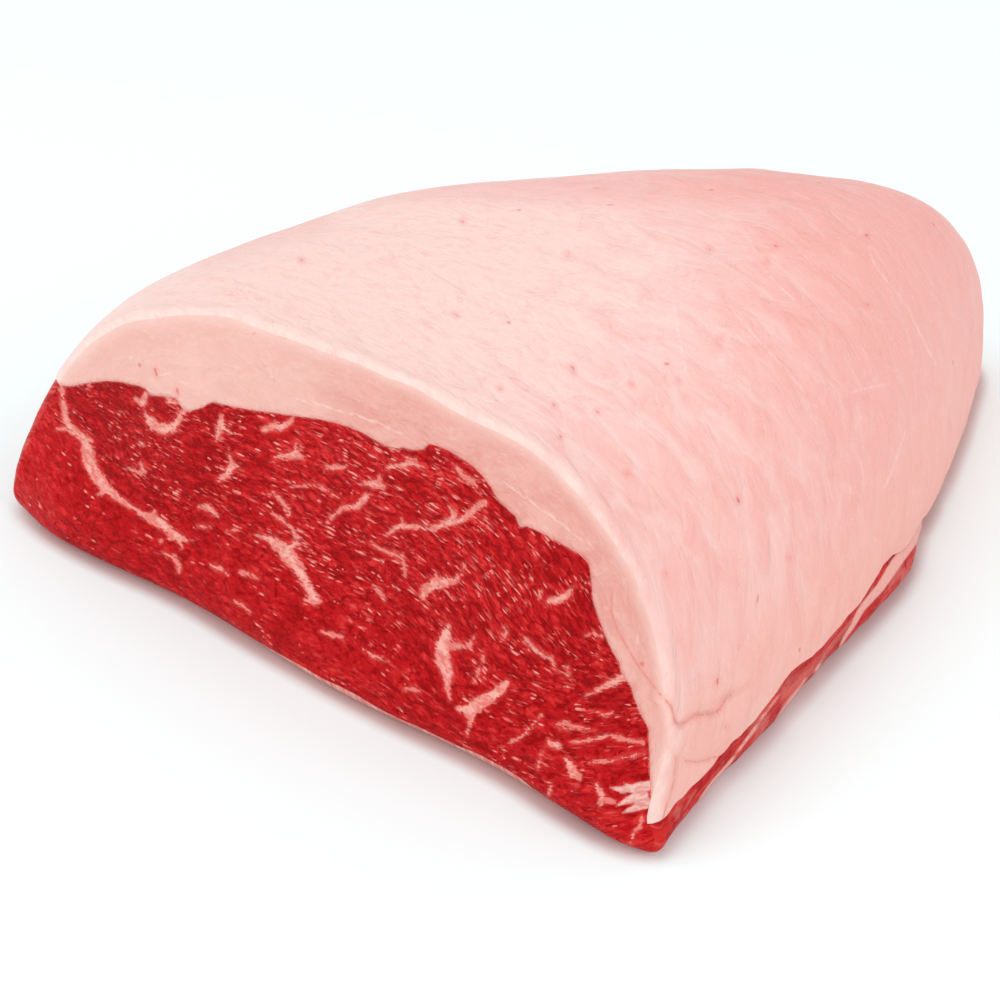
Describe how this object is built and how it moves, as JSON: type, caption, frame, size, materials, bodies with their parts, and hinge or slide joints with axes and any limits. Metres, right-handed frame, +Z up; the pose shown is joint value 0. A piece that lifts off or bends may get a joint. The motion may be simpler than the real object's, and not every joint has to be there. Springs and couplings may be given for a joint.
{
  "type": "raw picanha",
  "caption": "Block of raw beef with a thick fat cap over dark lean, cut square across its wide end to show the marbled grain, lying fat side up.",
  "frame": {"origin": "on the floor under the middle of the block", "axes": "+Z up through the fat cap, +Y from the cut face to the tip, +X to the right seen from the cut"},
  "size_m": [0.1893, 0.1924, 0.0669],
  "materials": {
    "fat": "cream to pink beef fat, satin with a faint wet gloss",
    "lean": "deep red muscle with pale marbling, moist",
    "silverskin": "thin pale pink membrane, wet"
  },
  "bodies": {
    "root": {"fat_cap": "fat", "lean": "lean", "silverskin": "silverskin"}
  },
  "joints": []
}
